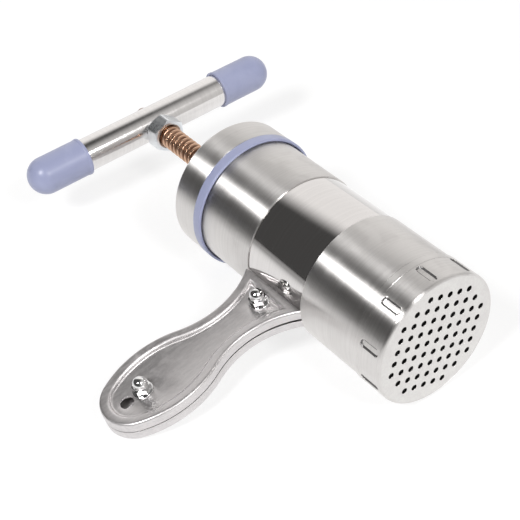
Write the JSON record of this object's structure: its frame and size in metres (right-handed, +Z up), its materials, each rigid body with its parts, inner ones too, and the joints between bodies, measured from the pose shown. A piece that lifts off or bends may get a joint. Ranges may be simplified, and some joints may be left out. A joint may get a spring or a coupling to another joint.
{
  "type": "hand pasta press",
  "caption": "Hand press for pasta: screw-driven piston in a steel barrel, perforated screw-on mould cup, T-handle with soft caps and a flat side grip.",
  "frame": {"origin": "centre of the mould cup's perforated outer face, on the barrel's axis", "axes": "+X along the barrel towards the mould, the way the dough leaves; +Z up as the press lies on its side; the side handle points to -Y"},
  "size_m": [0.2186, 0.1885, 0.0652],
  "materials": {
    "brushed_steel": "circumferentially brushed stainless steel",
    "mirror_steel": "mirror-polished stainless steel",
    "satin_steel": "satin pressed stainless steel",
    "raw_steel": "plain steel",
    "lilac_plastic": "satin lilac-grey plastic",
    "white_plastic": "natural nylon",
    "bronze": "copper-coloured bronze plating",
    "zinc": "blue zinc plating",
    "bright_nickel": "bright nickel plating"
  },
  "bodies": {
    "barrel": {"dough_cylinder": "raw_steel", "barrel_shell": "mirror_steel", "lower_sleeve": "brushed_steel", "upper_sleeve": "brushed_steel", "lower_spacer_ring": "white_plastic", "upper_spacer_ring": "white_plastic", "handle_bracket": "raw_steel", "handle_front_shell": "satin_steel", "handle_back_shell": "satin_steel", "handle_spacer": "raw_steel", "handle_washers": "bright_nickel", "handle_screws": "bright_nickel", "handle_cap_nuts": "bright_nickel"},
    "mould": {"mould_cup": "brushed_steel", "mould_thread_ring": "lilac_plastic"},
    "cap": {"top_cap": "brushed_steel", "cap_thread_ring": "lilac_plastic", "lead_nut": "zinc"},
    "piston": {"piston_plate": "raw_steel", "piston_guide": "white_plastic", "piston_hub": "raw_steel"},
    "screw": {"lead_screw": "bronze", "handle_beam": "mirror_steel", "near_grip_cap": "lilac_plastic", "far_grip_cap": "lilac_plastic", "locking_nut": "zinc", "retaining_clip": "raw_steel"}
  },
  "joints": [
    {"name": "cap_lift", "type": "slide", "parent": "barrel", "child": "cap", "axis": [-1, 0, 0], "range_m": [0, 0.095]},
    {"name": "piston_slide", "type": "slide", "parent": "cap", "child": "piston", "axis": [1, 0, 0], "range_m": [-0.0577, 0.0497]},
    {"name": "screw_turn", "type": "hinge", "parent": "piston", "child": "screw", "pos_m": [0, 0, 0], "axis": [1, 0, 0], "range_deg": [-6480, 5580]},
    {"name": "mould_lift", "type": "slide", "parent": "barrel", "child": "mould", "axis": [1, 0, 0], "range_m": [0, 0.03]}
  ],
  "couplings": [
    {"joint": "piston_slide", "follows": "screw_turn", "m_per_rad": 0.0005093}
  ]
}
